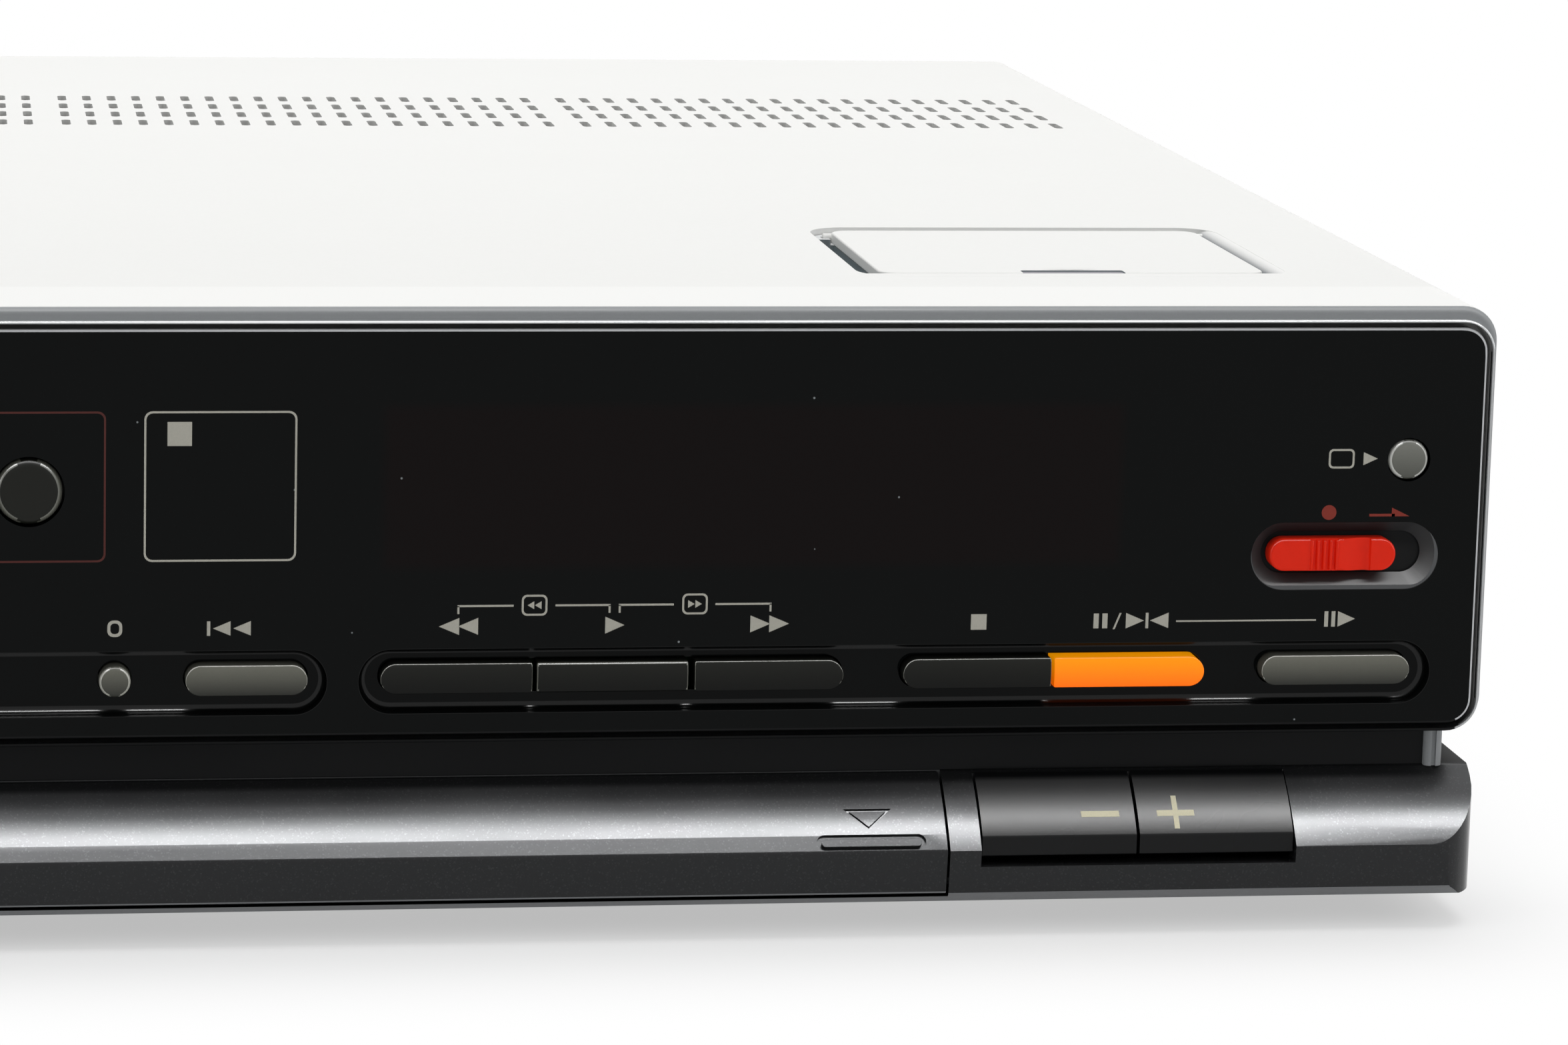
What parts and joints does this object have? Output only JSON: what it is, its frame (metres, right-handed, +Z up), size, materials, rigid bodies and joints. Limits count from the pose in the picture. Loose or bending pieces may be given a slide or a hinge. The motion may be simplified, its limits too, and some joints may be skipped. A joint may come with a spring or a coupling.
{
  "type": "video cassette recorder",
  "caption": "Slim front-loading video cassette recorder with a dark front window, drop-down control door, top lid and working tape deck.",
  "frame": {"origin": "on the floor under the middle of the recorder", "axes": "+X to the right seen from the front, +Y to the back, +Z up"},
  "size_m": [0.43, 0.355, 0.096],
  "materials": {
    "cover_paint": "satin light silver paint",
    "frame_paint": "silver painted moulding",
    "window_black": "polished dark acrylic",
    "sill_charcoal": "metallic charcoal paint",
    "button_black": "satin black",
    "button_grey": "satin grey",
    "button_orange": "orange, lit",
    "slider_red": "moulded red",
    "zinc_steel": "zinc plated",
    "rear_paint": "black paint",
    "foot_rubber": "moulded rubber",
    "screw_black": "black oxide",
    "board_green": "solder mask",
    "core_steel": "varnished laminations",
    "sink_aluminium": "black anodised",
    "socket_chrome": "nickel plated",
    "inlet_black": "moulded black",
    "display_glass": "dark display glass",
    "tray_grey": "moulded grey",
    "drum_aluminium": "turned and polished",
    "head_metal": "polished head",
    "deck_white": "moulded white",
    "roller_rubber": "ground rubber",
    "shaft_steel": "ground shaft"
  },
  "bodies": {
    "case": {"base_pan": "zinc_steel", "rear_panel": "rear_paint", "top_cover": "cover_paint", "front_frame": "frame_paint", "front_window": "window_black", "front_sill": "sill_charcoal", "feet": "foot_rubber", "cover_screws": "screw_black", "main_board": "board_green", "power_board": "board_green", "transformer": "core_steel", "heatsink": "sink_aluminium", "tuner_can": "socket_chrome", "aerial_block": "socket_chrome", "phono_sockets": "socket_chrome", "mains_inlet": "inlet_black", "display_tube": "display_glass", "remote_receiver": "zinc_steel", "front_board": "board_green", "deck_plate": "zinc_steel", "deck_pillars": "zinc_steel", "lower_drum": "drum_aluminium", "capstan_housing": "shaft_steel", "erase_head": "head_metal", "audio_head": "head_metal", "tape_guides": "shaft_steel", "carriage_rails": "zinc_steel", "loading_motor": "zinc_steel", "preset_tray": "tray_grey"},
    "power_button_body": {"power_button": "button_black"},
    "eject_button_body": {"eject_button": "button_grey"},
    "tape_return_button_body": {"tape_return_button": "button_grey"},
    "rewind_button_body": {"rewind_button": "button_black"},
    "play_button_body": {"play_button": "button_black"},
    "fast_forward_button_body": {"fast_forward_button": "button_black"},
    "stop_button_body": {"stop_button": "button_black"},
    "pause_button_body": {"pause_button": "button_orange"},
    "frame_advance_button_body": {"frame_advance_button": "button_grey"},
    "counter_reset_button_body": {"counter_reset_button": "button_black"},
    "timer_button_body": {"timer_button": "button_black"},
    "input_button_body": {"input_button": "button_black"},
    "program_minus_key_body": {"program_minus_key": "sill_charcoal"},
    "program_plus_key_body": {"program_plus_key": "sill_charcoal"},
    "record_slider_body": {"record_slider": "slider_red"},
    "front_door_body": {"front_door": "sill_charcoal"},
    "cassette_door_body": {"cassette_door": "window_black"},
    "preset_lid_body": {"preset_lid": "cover_paint"},
    "cassette_carriage_body": {"cassette_carriage": "zinc_steel"},
    "cassette_holder_body": {"cassette_holder": "zinc_steel"},
    "upper_drum_body": {"upper_drum": "drum_aluminium"},
    "capstan_body": {"capstan": "shaft_steel"},
    "supply_reel_body": {"supply_reel": "deck_white"},
    "takeup_reel_body": {"takeup_reel": "deck_white"},
    "loading_ring_body": {"loading_ring": "deck_white"},
    "pinch_arm_body": {"pinch_arm": "zinc_steel"},
    "pinch_roller_body": {"pinch_roller": "roller_rubber"},
    "tension_arm_body": {"tension_arm": "zinc_steel"},
    "tracking_knob_body": {"tracking_knob": "button_grey"},
    "speed_switch_body": {"speed_switch": "button_black"},
    "tuning_wheel_body": {"tuning_wheel": "button_grey"}
  },
  "joints": [
    {"name": "power_press", "type": "slide", "parent": "case", "child": "power_button_body", "axis": [0, 1, 0], "range_m": [0, 0.0012], "stiffness_N_per_m": 300, "springref_m": -0.001},
    {"name": "eject_press", "type": "slide", "parent": "case", "child": "eject_button_body", "axis": [0, 1, 0], "range_m": [0, 0.0012], "stiffness_N_per_m": 300, "springref_m": -0.001},
    {"name": "tape_return_press", "type": "slide", "parent": "case", "child": "tape_return_button_body", "axis": [0, 1, 0], "range_m": [0, 0.0012], "stiffness_N_per_m": 300, "springref_m": -0.001},
    {"name": "rewind_press", "type": "slide", "parent": "case", "child": "rewind_button_body", "axis": [0, 1, 0], "range_m": [0, 0.0012], "stiffness_N_per_m": 300, "springref_m": -0.001},
    {"name": "play_press", "type": "slide", "parent": "case", "child": "play_button_body", "axis": [0, 1, 0], "range_m": [0, 0.0012], "stiffness_N_per_m": 300, "springref_m": -0.001},
    {"name": "fast_forward_press", "type": "slide", "parent": "case", "child": "fast_forward_button_body", "axis": [0, 1, 0], "range_m": [0, 0.0012], "stiffness_N_per_m": 300, "springref_m": -0.001},
    {"name": "stop_press", "type": "slide", "parent": "case", "child": "stop_button_body", "axis": [0, 1, 0], "range_m": [0, 0.0012], "stiffness_N_per_m": 300, "springref_m": -0.001},
    {"name": "pause_press", "type": "slide", "parent": "case", "child": "pause_button_body", "axis": [0, 1, 0], "range_m": [0, 0.0012], "stiffness_N_per_m": 300, "springref_m": -0.001},
    {"name": "frame_advance_press", "type": "slide", "parent": "case", "child": "frame_advance_button_body", "axis": [0, 1, 0], "range_m": [0, 0.0012], "stiffness_N_per_m": 300, "springref_m": -0.001},
    {"name": "counter_reset_press", "type": "slide", "parent": "case", "child": "counter_reset_button_body", "axis": [0, 1, 0], "range_m": [0, 0.0012], "stiffness_N_per_m": 300, "springref_m": -0.001},
    {"name": "timer_press", "type": "slide", "parent": "case", "child": "timer_button_body", "axis": [0, 1, 0], "range_m": [0, 0.0012], "stiffness_N_per_m": 300, "springref_m": -0.001},
    {"name": "input_press", "type": "slide", "parent": "case", "child": "input_button_body", "axis": [0, 1, 0], "range_m": [0, 0.0012], "stiffness_N_per_m": 300, "springref_m": -0.001},
    {"name": "program_minus_press", "type": "slide", "parent": "case", "child": "program_minus_key_body", "axis": [0, 0, -1], "range_m": [0, 0.001], "stiffness_N_per_m": 300, "springref_m": -0.001},
    {"name": "program_plus_press", "type": "slide", "parent": "case", "child": "program_plus_key_body", "axis": [0, 0, -1], "range_m": [0, 0.001], "stiffness_N_per_m": 300, "springref_m": -0.001},
    {"name": "record_slide", "type": "slide", "parent": "case", "child": "record_slider_body", "axis": [1, 0, 0], "range_m": [0, 0.0037], "stiffness_N_per_m": 100, "springref_m": -0.001},
    {"name": "front_door_hinge", "type": "hinge", "parent": "case", "child": "front_door_body", "pos_m": [0, -0.1755, 0.0082], "axis": [1, 0, 0], "range_deg": [0, 90]},
    {"name": "cassette_door_hinge", "type": "hinge", "parent": "case", "child": "cassette_door_body", "pos_m": [-0.1075, -0.1717, 0.0836], "axis": [1, 0, 0], "range_deg": [0, 86], "stiffness_Nm_per_rad": 0.002, "springref_deg": -11.46},
    {"name": "preset_lid_hinge", "type": "hinge", "parent": "case", "child": "preset_lid_body", "pos_m": [0.15685, -0.0944, 0.0949], "axis": [-1, 0, 0], "range_deg": [0, 100]},
    {"name": "carriage_slide", "type": "slide", "parent": "case", "child": "cassette_carriage_body", "axis": [0, 1, 0], "range_m": [0, 0.078]},
    {"name": "holder_drop", "type": "slide", "parent": "cassette_carriage_body", "child": "cassette_holder_body", "axis": [0, 0, -1], "range_m": [0, 0.023]},
    {"name": "drum_spin", "type": "hinge", "parent": "case", "child": "upper_drum_body", "pos_m": [-0.1075, 0.09, 0.06], "axis": [0, 0, 1], "continuous": true},
    {"name": "capstan_spin", "type": "hinge", "parent": "case", "child": "capstan_body", "pos_m": [-0.0455, 0.062, 0.056], "axis": [0, 0, 1], "continuous": true},
    {"name": "supply_reel_spin", "type": "hinge", "parent": "case", "child": "supply_reel_body", "pos_m": [-0.1435, -0.0115, 0.041], "axis": [0, 0, 1], "continuous": true},
    {"name": "takeup_reel_spin", "type": "hinge", "parent": "case", "child": "takeup_reel_body", "pos_m": [-0.0715, -0.0115, 0.041], "axis": [0, 0, 1], "continuous": true},
    {"name": "ring_turn", "type": "hinge", "parent": "case", "child": "loading_ring_body", "pos_m": [-0.1075, 0.09, 0.0238], "axis": [0, 0, 1], "range_deg": [0, 170]},
    {"name": "pinch_arm_swing", "type": "hinge", "parent": "case", "child": "pinch_arm_body", "pos_m": [-0.0305, 0.088, 0.03], "axis": [0, 0, 1], "range_deg": [-22, 0], "stiffness_Nm_per_rad": 0.02, "springref_deg": 5.73},
    {"name": "pinch_roller_spin", "type": "hinge", "parent": "pinch_arm_body", "child": "pinch_roller_body", "pos_m": [-0.0266, 0.06027, 0.035], "axis": [0, 0, 1], "continuous": true},
    {"name": "tension_arm_swing", "type": "hinge", "parent": "case", "child": "tension_arm_body", "pos_m": [-0.1675, 0.062, 0.03], "axis": [0, 0, 1], "range_deg": [-12, 0], "stiffness_Nm_per_rad": 0.02, "springref_deg": 5.73},
    {"name": "tracking_turn", "type": "hinge", "parent": "case", "child": "tracking_knob_body", "pos_m": [0.06, -0.164, 0.0145], "axis": [0, 1, 0], "range_deg": [-140, 140]},
    {"name": "speed_slide", "type": "slide", "parent": "case", "child": "speed_switch_body", "axis": [1, 0, 0], "range_m": [0, 0.004]},
    {"name": "tuning_turn", "type": "hinge", "parent": "case", "child": "tuning_wheel_body", "pos_m": [0.15, -0.1155, 0.082], "axis": [0, 0, 1], "continuous": true}
  ]
}
